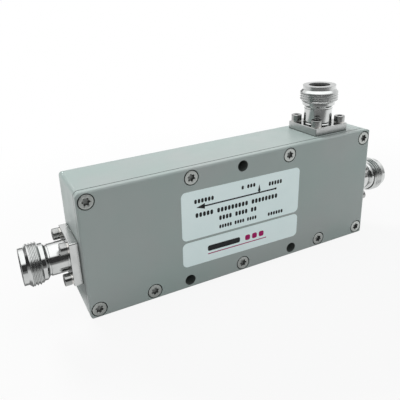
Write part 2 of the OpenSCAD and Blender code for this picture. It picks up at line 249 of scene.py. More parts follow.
class NodeSheet(NodeBench):
    """A material's node tree, built round one principled shader."""

    def __init__(self, name: str) -> None:
        """Starts an empty material with its shader and its object coordinates.

        Args:
            name: Name of the material.
        """
        self.material: Material = bpy.data.materials.new(name)
        super().__init__(self.material)
        self.shader = self.add("ShaderNodeBsdfPrincipled")
        output = self.add("ShaderNodeOutputMaterial")
        self.join(self.shader.outputs["BSDF"], output.inputs["Surface"])
        self.place: NodeSocket = self.add("ShaderNodeTexCoord").outputs["Object"]

    def fix(self, **values: object) -> None:
        """Sets constant sockets of the shader, spaces in their names written as underscores."""
        for key, value in values.items():
            self.shader.inputs[key.replace("_", " ")].default_value = value

    def noise(self, scale: float, detail: float, vector: NodeSocket | None = None) -> NodeSocket:
        """Adds a noise pattern.

        Args:
            scale: Number of features per metre.
            detail: Number of finer octaves.
            vector: Coordinates to read, the object's own where left out.

        Returns:
            The value output of the noise.
        """
        node = self.add("ShaderNodeTexNoise", {"Scale": scale, "Detail": detail})
        self.join(vector or self.place, node.inputs["Vector"])
        return node.outputs["Fac"]

    def stretched(self, scale: Point) -> NodeSocket:
        """Stretches the object coordinates.

        Args:
            scale: Factor along each axis.

        Returns:
            The stretched coordinates.
        """
        node = self.add("ShaderNodeMapping", {"Scale": scale})
        self.join(self.place, node.inputs["Vector"])
        return node.outputs["Vector"]

    def spread(self, source: NodeSocket, low: float, high: float) -> NodeSocket:
        """Returns a noise mapped to a range."""
        return self.step(source, Ramp(NOISE_LOW, NOISE_HIGH, low, high))

    def shade(self, source: NodeSocket, first: Colour, last: Colour) -> NodeSocket:
        """Blends two colours by a noise.

        Args:
            source: Value output that drives the blend.
            first: Colour at the low end.
            last: Colour at the high end.

        Returns:
            The colour output.
        """
        node = self.add("ShaderNodeValToRGB")
        node.color_ramp.interpolation = "EASE"
        for stop, place, colour in zip(node.color_ramp.elements, (NOISE_LOW, NOISE_HIGH), (first, last)):
            stop.position = place
            stop.color = colour
        self.join(source, node.inputs["Fac"])
        return node.outputs["Color"]

    def mix(self, share: NodeSocket, first: NodeSocket, second: Colour, blend: str = "MIX") -> NodeSocket:
        """Lays one colour over another.

        Args:
            share: How much of the second colour shows.
            first: Colour output beneath.
            second: Colour laid over it.
            blend: How the two are combined.

        Returns:
            The colour output.
        """
        node = self.add("ShaderNodeMix", data_type="RGBA", blend_type=blend)
        sockets = {socket.identifier: socket for socket in (*node.inputs, *node.outputs)}
        self.join(share, sockets["Factor_Float"])
        self.join(first, sockets["A_Color"])
        sockets["B_Color"].default_value = second
        return sockets["Result_Color"]

    def bump(self, height: NodeSocket, depth: float) -> NodeSocket:
        """Adds a bump layer.

        Args:
            height: Value output that gives the relief.
            depth: Height of the relief in metres.

        Returns:
            The normal output.
        """
        node = self.add("ShaderNodeBump", {"Distance": depth})
        self.join(height, node.inputs["Height"])
        return node.outputs["Normal"]

    def wear(self, colour: NodeSocket, roughness: NodeSocket, normal: NodeSocket) -> Material:
        """Joins the varying sockets to the shader.

        Args:
            colour: Base colour.
            roughness: Roughness.
            normal: Normal with its relief.

        Returns:
            The finished material.
        """
        self.join(colour, self.shader.inputs["Base Color"])
        self.join(roughness, self.shader.inputs["Roughness"])
        self.join(normal, self.shader.inputs["Normal"])
        return self.material


@dataclass(frozen=True)
class PaintFinish:
    """Semi-matt paint sprayed on machined metal, with a fine orange peel and painted shade in its bores,
    counterbores and seam groove.
    """

    heads: tuple[Point, ...]
    holes: tuple[Point, ...]
    joint: float
    seam_w: float = 0.25
    seam_edge: float = 0.10
    bore_edge: float = 0.02
    name: str = "grey_green_paint"
    green: Colour = (0.300, 0.366, 0.350, 1.0)
    grey: Colour = (0.326, 0.366, 0.357, 1.0)
    # Painted shade in the bores and the seam groove.
    painted_shade: Colour = (0.10, 0.115, 0.11, 1.0)
    # Painted shade in the counterbores, lighter than that of the bores.
    thin: Colour = (0.24, 0.285, 0.27, 1.0)
    cloud_scale: float = 38.0
    sheen_scale: float = 114.0
    peel_scale: float = 1500.0
    peel_depth: float = 0.000012
    smooth: float = 0.32
    rough: float = 0.42
    specular: float = 0.4

    def material(self) -> Material:
        """Makes the paint with its clouds of tint, its peel, and painted shade in its seam, counterbores and
        bores.

        Returns:
            The material.
        """
        sheet = NodeSheet(self.name)
        sheet.fix(Specular_IOR_Level=self.specular)
        coat = sheet.shade(sheet.noise(self.cloud_scale, CLOUD_DETAIL), self.green, self.grey)
        # Painted shade: counterbores, bores and seam groove turn darker to stand in for the shade that falls
        # in them.
        coat = sheet.mix(self._in_counterbores(sheet), coat, self.thin)
        coat = sheet.mix(self._in_bores(sheet, self.holes), coat, self.painted_shade)
        coat = sheet.mix(self._in_seam(sheet), coat, self.painted_shade)
        sheen = sheet.spread(sheet.noise(self.sheen_scale, GRAIN_DETAIL), self.smooth, self.rough)
        peel = sheet.bump(sheet.noise(self.peel_scale, RELIEF_DETAIL), self.peel_depth)
        return sheet.wear(coat, sheen, peel)

    def _in_seam(self, sheet: NodeSheet) -> NodeSocket:
        """Marks the groove between cover and housing.

        Args:
            sheet: Node tree of the paint.

        Returns:
            1 in the groove, and 0 elsewhere.
        """
        middle = (self.joint - self.seam_w / 2) * MM
        reach = (self.seam_w / 2 + self.seam_edge) * MM
        return sheet.combine("COMPARE", sheet.along(sheet.place, Y_AXIS), middle, reach)

    def _in_counterbores(self, sheet: NodeSheet) -> NodeSocket:
        """Marks the counterbores of the cover.

        Args:
            sheet: Node tree of the paint.

        Returns:
            1 inside the counterbores, and 0 elsewhere and behind the cover.
        """
        front = (self.joint - self.seam_w) * MM
        ahead = sheet.combine("LESS_THAN", sheet.along(sheet.place, Y_AXIS), front)
        return sheet.combine("MULTIPLY", self._in_bores(sheet, self.heads), ahead)

    def _in_bores(self, sheet: NodeSheet, bores: tuple[Point, ...]) -> NodeSocket:
        """Marks bores that run along Y.

        Args:
            sheet: Node tree of the paint.
            bores: Place across Y and radius of each bore.

        Returns:
            1 inside any of the bores, and 0 on the painted outside.
        """
        flat = sheet.add("ShaderNodeVectorMath", {1: (1.0, 0.0, 1.0)}, operation="MULTIPLY")
        sheet.join(sheet.place, flat.inputs[0])
        inside: NodeSocket | None = None
        for x, z, radius in bores:
            off = sheet.away(flat.outputs["Vector"], (x * MM, 0.0, z * MM))
            near = sheet.combine("LESS_THAN", off, (radius + self.bore_edge) * MM)
            inside = near if inside is None else sheet.combine("MAXIMUM", inside, near)
        return inside


@dataclass(frozen=True)
class Finish:
    """What every finish but the paint states: a light and a dark tint and a range of roughness."""

    name: str
    light: Colour
    dark: Colour
    smooth: float
    rough: float

    def tint(self, sheet: NodeSheet, pattern: NodeSocket) -> NodeSocket:
        """Returns the finish's tints blended by a pattern."""
        return sheet.shade(pattern, self.dark, self.light)

    def sheen(self, sheet: NodeSheet, pattern: NodeSocket) -> NodeSocket:
        """Returns the finish's roughness varied by a pattern."""
        return sheet.spread(pattern, self.smooth, self.rough)


@dataclass(frozen=True)
class TurnedFinish(Finish):
    """Plated metal with rings left by the lathe, duller where the piece's own attribute says so, and made
    darker by painted shade where that attribute is highest, in bores and recesses.
    """

    ring_pitch: float = 0.09
    ring_depth: float = 0.0000009
    cloud_scale: float = 260.0
    dull_rough: float = 0.44
    dull_metal: float = 1.0
    # Painted shade over the dullest places, and the dullness at which it starts.
    recess_shade_tone: Colour = (0.25, 0.25, 0.25, 1.0)
    shade_start: float = 0.75

    def material(self) -> Material:
        """Makes the plating with its lathe rings, faint clouds, dull places and painted shade in bores and
        recesses.

        Returns:
            The material.
        """
        sheet = NodeSheet(self.name)
        along = sheet.add("ShaderNodeAttribute", attribute_name=AXIAL).outputs["Fac"]
        dull = sheet.add("ShaderNodeAttribute", attribute_name=DULL_AND_SHADE).outputs["Fac"]
        cloud = sheet.noise(self.cloud_scale, CLOUD_DETAIL)
        # Painted shade: the dullest places, bores and recesses, turn darker to stand in for the shade that
        # falls in them.
        shade_share = sheet.step(dull, Ramp(self.shade_start, 1.0), "LINEAR")
        tint = sheet.mix(shade_share, self.tint(sheet, cloud), self.recess_shade_tone, "MULTIPLY")
        roughness = sheet.combine("MULTIPLY_ADD", dull, self.dull_rough, self.sheen(sheet, cloud))
        if self.dull_metal < 1.0:
            metal = sheet.step(dull, Ramp(0.0, 1.0, 1.0, self.dull_metal), "LINEAR")
            sheet.join(metal, sheet.shader.inputs["Metallic"])
        else:
            sheet.fix(Metallic=1.0)
        rings = sheet.combine("SINE", sheet.combine("MULTIPLY", along, FULL_TURN / self.ring_pitch))
        return sheet.wear(tint, roughness, sheet.bump(rings, self.ring_depth))


@dataclass(frozen=True)
class MetalFinish(Finish):
    """Plain metal with a fine grain along one direction."""

    grain: Point = (1.0, 1.0, 1.0)
    grain_scale: float = 900.0
    grain_depth: float = 0.000002

    def material(self) -> Material:
        """Makes the metal with its grain.

        Returns:
            The material.
        """
        sheet = NodeSheet(self.name)
        sheet.fix(Metallic=1.0)
        grain = sheet.noise(self.grain_scale, GRAIN_DETAIL, sheet.stretched(self.grain))
        relief = sheet.bump(grain, self.grain_depth)
        return sheet.wear(self.tint(sheet, grain), self.sheen(sheet, grain), relief)


@dataclass(frozen=True)
class PlainFinish(Finish):
    """Rubber, moulded plastic, ceramic, paper or ink: a tint that varies, and a fine relief."""

    cloud_scale: float = 300.0
    relief_scale: float = 2500.0
    relief_depth: float = 0.000004
    specular: float = 0.5

    def material(self) -> Material:
        """Makes the material with its clouds and relief.

        Returns:
            The material.
        """
        sheet = NodeSheet(self.name)
        sheet.fix(Specular_IOR_Level=self.specular)
        cloud = sheet.noise(self.cloud_scale, CLOUD_DETAIL)
        relief = sheet.bump(sheet.noise(self.relief_scale, RELIEF_DETAIL), self.relief_depth)
        return sheet.wear(self.tint(sheet, cloud), self.sheen(sheet, cloud), relief)


class Finishes:
    """Every material of the part, made once."""

    def __init__(self, paint: PaintFinish) -> None:
        """Builds the materials, each from its name, two tints, lowest and highest roughness and what differs.

        Args:
            paint: Paint of housing and cover, with the places of its bores.
        """
        self.paint = paint.material()
        self.plate = TurnedFinish(
            "bright_plating", (0.50, 0.51, 0.505, 1), (0.44, 0.45, 0.445, 1), 0.09, 0.16
        ).material()
        self.cap_steel = TurnedFinish(
            "cap_screw_steel", (0.33, 0.335, 0.33, 1), (0.27, 0.275, 0.27, 1), 0.16, 0.26
        ).material()
        self.cover_steel = TurnedFinish(
            "cover_screw_steel", (0.43, 0.45, 0.435, 1), (0.37, 0.39, 0.375, 1), 0.36, 0.48, dull_metal=0.2
        ).material()
        self.washer = MetalFinish(
            "washer_steel", (0.60, 0.59, 0.57, 1), (0.45, 0.44, 0.42, 1), 0.25, 0.40
        ).material()
        self.gasket = PlainFinish(
            "gasket_rubber", (0.095, 0.105, 0.10, 1), (0.07, 0.078, 0.074, 1), 0.55, 0.75
        ).material()
        self.insulator = PlainFinish(
            "white_insulator", (0.86, 0.86, 0.82, 1), (0.80, 0.80, 0.76, 1), 0.35, 0.45
        ).material()
        self.contact = MetalFinish(
            "gilded_contact", (0.93, 0.72, 0.36, 1), (0.82, 0.60, 0.27, 1), 0.16, 0.28
        ).material()
        self.line = MetalFinish(
            "silvered_line", (0.86, 0.85, 0.82, 1), (0.74, 0.73, 0.70, 1), 0.20, 0.34, grain=(0.1, 1.0, 1.0)
        ).material()
        self.copper = MetalFinish(
            "copper_base", (0.80, 0.46, 0.32, 1), (0.66, 0.35, 0.23, 1), 0.28, 0.42, grain=(0.2, 1.0, 1.0)
        ).material()
        self.ceramic = PlainFinish(
            "load_ceramic", (0.84, 0.84, 0.80, 1), (0.76, 0.76, 0.72, 1), 0.40, 0.55
        ).material()
        self.label = PlainFinish(
            "label_film", (0.80, 0.93, 0.93, 1), (0.76, 0.90, 0.90, 1), 0.42, 0.52, cloud_scale=60.0
        ).material()
        ink = {"smooth": 0.50, "rough": 0.65, "cloud_scale": 900.0, "specular": 0.2}
        self.ink = PlainFinish(
            "label_ink", (0.016, 0.017, 0.018, 1), (0.010, 0.011, 0.012, 1), **ink
        ).material()
        self.plum = PlainFinish("plum_ink", (0.38, 0.006, 0.12, 1), (0.32, 0.005, 0.10, 1), **ink).material()


def rim_edges(verts: list[BMVert]) -> list[BMEdge]:
    """Finds the edges that have both ends among some vertices.

    Args:
        verts: Vertices to look at.

    Returns:
        The edges, in the order of the vertices.
    """
    chosen = set(verts)
    found = dict.fromkeys(edge for vert in verts for edge in vert.link_edges)
    return [edge for edge in found if edge.verts[0] in chosen and edge.verts[1] in chosen]


def ring(bm: BMesh, radius: float, segments: int, height: float, middle: Spot = (0.0, 0.0)) -> list[BMVert]:
    """Adds a circle of edges across Z.

    Args:
        bm: Mesh to add to.
        radius: Radius of the circle.
        segments: Number of edges.
        height: Place along Z.
        middle: Place across Z.

    Returns:
        The circle's vertices.
    """
    place = Matrix.Translation((*middle, height))
    made = bmesh.ops.create_circle(bm, cap_ends=False, radius=radius, segments=segments, matrix=place)
    return made["verts"]


def wire(bm: BMesh, outline: list[Spot], closed: bool = False) -> tuple[list[BMVert], list[BMEdge]]:
    """Adds a turned outline as a chain of edges in the YZ plane.

    Args:
        bm: Mesh to add to.
        outline: Radius and height of each corner, in order.
        closed: Whether the last corner joins the first.

    Returns:
        The chain's vertices and edges.
    """
    verts = [bm.verts.new((0.0, radius, height)) for radius, height in outline]
    edges = [bm.edges.new(pair) for pair in zip(verts, verts[1:])]
    if closed:
        edges.append(bm.edges.new((verts[-1], verts[0])))
    return verts, edges


def soften(
    bm: BMesh, geom: list[BMVert] | list[BMEdge], offset: float, segments: int, corners: bool = False
) -> list[BMVert]:
    """Rounds edges, or the corners of a chain of edges.

    Args:
        bm: Mesh to change.
        geom: Edges to round, or vertices where corners is set.
        offset: Distance that the rounding takes from each side.
        segments: Number of steps in the rounding.
        corners: Whether vertices are rounded instead of edges.

    Returns:
        The vertices of the rounding.
    """
    done = bmesh.ops.bevel(
        bm,
        geom=geom,
        offset=offset,
        offset_type="OFFSET",
        segments=segments,
        profile=0.5,
        affect="VERTICES" if corners else "EDGES",
        clamp_overlap=True,
        material=-1,
    )
    return done["verts"]


def turn(bm: BMesh, verts: list[BMVert], steps: int) -> None:
    """Spins a chain of edges a full turn about Z.

    Args:
        bm: Mesh to change.
        verts: Vertices of the chain.
        steps: Number of steps in the turn.
    """
    bmesh.ops.spin(
        bm,
        geom=verts + rim_edges(verts),
        cent=ORIGIN,
        axis=Z_AXIS,
        dvec=ORIGIN,
        angle=FULL_TURN,
        steps=steps,
        use_merge=True,
        use_duplicate=False,
    )


def weld(bm: BMesh) -> None:
    """Merges doubled vertices and turns every face outwards."""
    bmesh.ops.remove_doubles(bm, verts=bm.verts[:], dist=WELD)
    bmesh.ops.recalc_face_normals(bm, faces=bm.faces[:])


def bar(bm: BMesh, size: Point, middle: Point) -> list[BMVert]:
    """Adds a block by its size and middle and returns its vertices."""
    place = Matrix.Translation(middle) @ Matrix.Diagonal((*size, 1.0))
    return bmesh.ops.create_cube(bm, size=1.0, matrix=place)["verts"]


def upright_edges(verts: list[BMVert]) -> list[BMEdge]:
    """Returns the edges of a block that run along Z."""
    return [e for e in rim_edges(verts) if (e.verts[0].co.xy - e.verts[1].co.xy).length < WELD]


def level_edges(verts: list[BMVert], height: float) -> list[BMEdge]:
    """Returns the edges that lie at one height."""
    return rim_edges([v for v in verts if abs(v.co.z - height) < WELD])


def round_plate(
    bm: BMesh, size: Point, foot: Spot, radius: float, edge: float, steps: tuple[int, int]
) -> None:
    """Adds a plate with round corners and a rounded upper edge.

    Args:
        bm: Mesh to add to.
        size: Length, width and thickness.
        foot: Place of its middle along Y and height of its underside.
        radius: Radius of its corners.
        edge: Rounding of its upper edge.
        steps: Number of steps in a corner and in the edge.
    """
    middle, low = foot
    thick = size[2]
    plate = bar(bm, size, (0.0, middle, low + thick / 2))
    corners = soften(bm, upright_edges(plate), radius, steps[0])
    whole = list(dict.fromkeys(v for v in plate + corners if v.is_valid))
    soften(bm, level_edges(whole, low + thick), edge, steps[1])


def mark_axial(bm: BMesh) -> None:
    """Stores each vertex's height in the attribute that the lathe rings follow.

    Args:
        bm: Mesh of a turned piece, its axis along Z.
    """
    layer = bm.verts.layers.float.new(AXIAL)
    for vert in bm.verts:
        vert[layer] = vert.co.z


def screw_group() -> BMesh:
    """Starts a mesh that keeps the attributes of the screws added to it.

    Returns:
        The empty mesh.
    """
    bm = bmesh.new()
    bm.verts.layers.float.new(AXIAL)
    bm.verts.layers.float.new(DULL_AND_SHADE)
    return bm


def make_piece(name: str, bm: BMesh, material: Material, nodes: tuple[str, ...] = ()) -> Object:
    """Turns a mesh in millimetres into a piece of the part.

    Args:
        name: Name of the piece.
        bm: Mesh in millimetres, in the part's frame. It is freed.
        material: Finish of the piece.
        nodes: Nodes that the piece stands for.

    Returns:
        The new object.
    """
    bmesh.ops.scale(bm, vec=(MM, MM, MM), verts=bm.verts[:])
    for face in bm.faces:
        face.smooth = True
    mesh = bpy.data.meshes.new(name)
    bm.to_mesh(mesh)
    bm.free()
    mesh.set_sharp_from_angle(angle=math.radians(SHARP_ANGLE))
    mesh.materials.append(material)
    piece = bpy.data.objects.new(name, mesh)
    bpy.context.scene.collection.objects.link(piece)
    even = piece.modifiers.new("even_normals", "WEIGHTED_NORMAL")
    even.keep_sharp = True
    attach(piece, BODY)
    if nodes:
        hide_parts(*nodes)
    LOG.info("piece %s: %d faces", name, len(mesh.polygons))
    return piece


def dress_nodes(nodes: dict[str, Object], names: tuple[str, ...], material: Material) -> None:
    """Gives carried-over nodes a finish.

    Args:
        nodes: The frame's nodes by name.
        names: Nodes to dress.
        material: Finish to give them.
    """
    for name in names:
        mesh = nodes[name].data
        mesh.materials.clear()
        mesh.materials.append(material)
        LOG.info("node %s: %s", name, material.name)


def node_box(name: str) -> tuple[Vector, Vector]:
    """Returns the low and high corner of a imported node, in millimetres."""
    low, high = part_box(name)
    return Vector(low) / MM, Vector(high) / MM


def port_frame(port: Port) -> Matrix:
    """Works out a port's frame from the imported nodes.

    Args:
        port: One of the three ports.

    Returns:
        The frame in millimetres, at the housing's face, Z out of it.
    """
    low, high = node_box(port.value + "_jack")
    box_low, box_high = node_box("housing")
    middle = (low + high) / 2
    if port is Port.COUPLED:
        return Matrix.Translation((middle.x, middle.y, box_high.z))
    side = -1 if port is Port.OUTPUT else 1
    face = box_low.x if port is Port.OUTPUT else box_high.x
    return Matrix.Translation((face, middle.y, middle.z)) @ Matrix.Rotation(side * QUARTER_TURN, 4, "Y")


@dataclass
class Housing:
    """The painted housing and cover, their mounting holes and the place of their joint."""

    hole_inset: float = 3.6
    hole_x: float = 24.75
    hole_r: float = 2.25

    def holes(self) -> tuple[Point, ...]:
        """Works out the three mounting holes, which run through housing and cover.

        Returns:
            Place on the front face and radius of each hole.
        """
        low, high = node_box("housing")
        top = high.z - self.hole_inset
        bottom = low.z + self.hole_inset
        places = ((0.0, top), (-self.hole_x, bottom), (self.hole_x, bottom))
        return tuple((x, z, self.hole_r) for x, z in places)

    def joint(self) -> float:
        """Returns the depth at which the cover meets the housing."""
        return node_box("housing")[0].y

    def dress(self, nodes: dict[str, Object], paint: Material) -> None:
        """Paints housing and cover."""
        dress_nodes(nodes, ("housing", "cover"), paint)


@dataclass
class Jack:
    """A jack with its square flange, turned barrel, threaded end and open mouth."""

    port: Port
    flange_w: float = 17.5
    flange_foot: float = 0.4
    flange_top: float = 3.4
    flange_r: float = 0.6
    flange_edge: float = 0.3
    flange_steps: tuple[int, int] = (5, 4)
    screw_pitch: float = 12.7
    screw_hole_r: float = 1.35
    barrel_r: float = 6.0
    foot_r: float = 0.25
    groove_low: float = 9.95
    groove_high: float = 10.65
    groove_deep: float = 0.3
    collar_low: float = 11.6
    collar_r: float = 6.95
    thread_low: float = 13.2
    thread_high: float = 17.2
    thread_r: float = 7.94
    pitch: float = 1.058
    thread_deep: float = 0.55
    land_l: float = 0.25
    nose_low: float = 18.3
    nose_r: float = 6.875
    mouth: float = 20.0
    flare_r: float = 4.45
    flare_low: float = 19.1
    bore_r: float = 4.05
    shoulder: float = 10.9
    seat_r: float = 3.55
    steps: int = 96
    hole_steps: int = 32
    edge_soft: float = 0.12
    edge_steps: int = 3

    # A face with more corners than this is one of the flange's two flat sides.
    plain_corners: int = 12

    # Shares of the pitch: the blank's chamfer, the run-out, the ridge's start, half its root, half its crest.
    chamfer_share: float = 0.5
    run_out_share: float = 0.4
    lead_share: float = 0.3
    root_share: float = 0.46
    crest_share: float = 0.07
    root_sunk: float = 0.05
    ridge_gap: float = 0.02

    # Dullness of the plating, and the nose's share of the dullness of a flange side.
    ring_dull: float = 0.4
    thread_dull: float = 0.25
    satin_side: float = 0.55
    bright_side: float = 0.05
    nose_share: float = 0.6

    @property
    def side_dull(self) -> float:
        """Dullness of the flange's sides, which are satin on the coupled port only."""
        return self.satin_side if self.port is Port.COUPLED else self.bright_side

    @property
    def core_r(self) -> float:
        """Radius at the root of the thread."""
        return self.thread_r - self.thread_deep

    @property
    def land(self) -> float:
        """Height at which the thread runs out into the plain land below the cone."""
        return self.thread_high - self.land_l

    def blank_r(self, height: float) -> float:
        """Radius of the turned blank from which the thread is cut, chamfered at its back end."""
        back = self.thread_low - self.pitch * self.chamfer_share
        return min(self.thread_r, self.collar_r + height - back)

    def screw_places(self) -> list[Spot]:
        """Middles of the four flange screws."""
        half = self.screw_pitch / 2
        return [(x, y) for x in (-half, half) for y in (-half, half)]

    def build(self, finish: Material) -> Object:
        """Models the jack and puts it at its port.

        Args:
            finish: Plating of the jack.

        Returns:
            The jack's piece.
        """
        bm = bmesh.new()
        self._turned_body(bm)
        self._flange(bm)
        weld(bm)
        self._thread(bm)
        mark_axial(bm)
        self._mark_dull(bm)
        bmesh.ops.transform(bm, matrix=port_frame(self.port), verts=bm.verts[:])
        name = self.port.value
        return make_piece(name + "_jack_body", bm, finish, (name + "_jack",))

    def dress(self, nodes: dict[str, Object], finishes: Finishes) -> None:
        """Dresses the jack's gasket, insulator and contact.

        Args:
            nodes: The frame's nodes by name.
            finishes: The part's materials.
        """
        dress_nodes(nodes, (self.port.value + "_gasket",), finishes.gasket)
        dress_nodes(nodes, (self.port.value + "_insulator",), finishes.insulator)
        dress_nodes(nodes, (self.port.value + "_contact",), finishes.contact)

    def _turned_body(self, bm: BMesh) -> None:
        """Turns barrel, groove, collar, thread core, nose, flare and bores as one outline.

        Args:
            bm: Mesh of the jack.
        """
        inner = self.barrel_r - self.groove_deep
        outline = [
            (self.barrel_r + self.foot_r, self.flange_top),
            (self.barrel_r, self.flange_top + self.foot_r),
            (self.barrel_r, self.groove_low),
            (inner, self.groove_low),
            (inner, self.groove_high),
            (self.barrel_r, self.groove_high),
            (self.collar_r, self.collar_low),
            (self.collar_r, self.thread_low),
            (self.core_r, self.thread_low + self.core_r - self.collar_r),
            (self.core_r, self.land - self.pitch * self.run_out_share),
            (self.thread_r, self.land),
            (self.thread_r, self.thread_high),
            (self.nose_r, self.nose_low),
            (self.nose_r, self.mouth),
            (self.flare_r, self.mouth),
            (self.bore_r, self.flare_low),
            (self.bore_r, self.shoulder),
            (self.seat_r, self.shoulder),
            (self.seat_r, self.flange_foot),
        ]
        verts, _ = wire(bm, outline)
        soften(bm, verts[2:-2], self.edge_soft, self.edge_steps, corners=True)
        turn(bm, bm.verts[:], self.steps)

    def _flange(self, bm: BMesh) -> None:
        """Models the flange plate with its four screw holes, open where the barrel stands on it.

        Args:
            bm: Mesh of the jack.
        """
        thick = self.flange_top - self.flange_foot
        size = (self.flange_w, self.flange_w, thick)
        round_plate(bm, size, (0.0, self.flange_foot), self.flange_r, self.flange_edge, self.flange_steps)
        for face in [f for f in bm.faces if len(f.verts) > self.plain_corners]:
            height = face.calc_center_median().z
            upper = height > self.flange_foot + thick / 2
            edges = list(face.edges)
            bmesh.ops.delete(bm, geom=[face], context="FACES_ONLY")
            centre_r = self.barrel_r + self.foot_r if upper else self.seat_r
            edges += rim_edges(ring(bm, centre_r, self.steps, height))
            for middle in self.screw_places():
                edges += rim_edges(ring(bm, self.screw_hole_r, self.hole_steps, height, middle))
            bmesh.ops.triangle_fill(bm, use_beauty=True, use_dissolve=False, edges=edges)
        for middle in self.screw_places():
            rims = [e for e in bm.edges if e.is_boundary and self._on_hole(e, middle)]
            bmesh.ops.bridge_loops(bm, edges=rims)

    def _on_hole(self, edge: BMEdge, middle: Spot) -> bool:
        """Whether an edge lies on the rim of the screw hole at a place."""
        centre = Vector(middle)
        return all((v.co.xy - centre).length < self.screw_hole_r + WELD for v in edge.verts)

    def _thread(self, bm: BMesh) -> None:
        """Winds the ridge of the thread as one right-hand helix and trims it to the blank.

        Args:
            bm: Mesh of the jack.
        """
        before = set(bm.verts)
        root = self.core_r - self.root_sunk
        low = self.thread_low - self.pitch * self.lead_share
        wide = self.pitch * self.root_share
        crest = self.pitch * self.crest_share
        outline = [
            (root, low - wide),
            (self.thread_r, low - crest),
            (self.thread_r, low + crest),
            (root, low + wide),
        ]
        verts, edges = wire(bm, outline, closed=True)
        first = bmesh.ops.contextual_create(bm, geom=verts)["faces"]
        count = round((self.land - low) / self.pitch * self.steps)
        bmesh.ops.spin(
            bm,
            geom=verts + edges + first,
            cent=ORIGIN,
            axis=Z_AXIS,
            dvec=(0.0, 0.0, self.pitch / self.steps),
            angle=FULL_TURN * count / self.steps,
            steps=count,
            use_merge=False,
            use_duplicate=False,
        )
        ridge = [v for v in bm.verts if v not in before]
        for vert in ridge:
            limit = self.blank_r(vert.co.z) - self.ridge_gap
            radius = vert.co.xy.length
            if radius > limit:
                vert.co.xy *= limit / radius
        faces = list(dict.fromkeys(f for v in ridge for f in v.link_faces))
        bmesh.ops.recalc_face_normals(bm, faces=faces)

    def _mark_dull(self, bm: BMesh) -> None:
        """Stores how dull the plating is at each vertex.

        Args:
            bm: Mesh of the jack.
        """
        layer = bm.verts.layers.float.new(DULL_AND_SHADE)
        for vert in bm.verts:
            vert[layer] = self._dull_at(vert.co)

    def _dull_at(self, spot: Vector) -> float:
        """Works out how dull the plating is at a spot.

        Args:
            spot: Place in the jack's own frame.

        Returns:
            1 in the bore, less on the mouth's ring, the nose, the thread and the flange's sides, else 0.
        """
        radius = spot.xy.length
        # The bore takes full dullness, which also makes it darker as painted shade.
        if radius < self.flare_r - WELD:
            return 1.0
        if spot.z > self.mouth - WELD:
            return self.ring_dull
        if spot.z > self.nose_low:
            return self.side_dull * self.nose_share
        if self.thread_low - self.pitch < spot.z < self.land and radius > self.collar_r + WELD:
            return self.thread_dull
        side = max(abs(spot.x), abs(spot.y)) > self.flange_w / 2 - self.flange_edge / 2
        return self.side_dull if side else 0.0


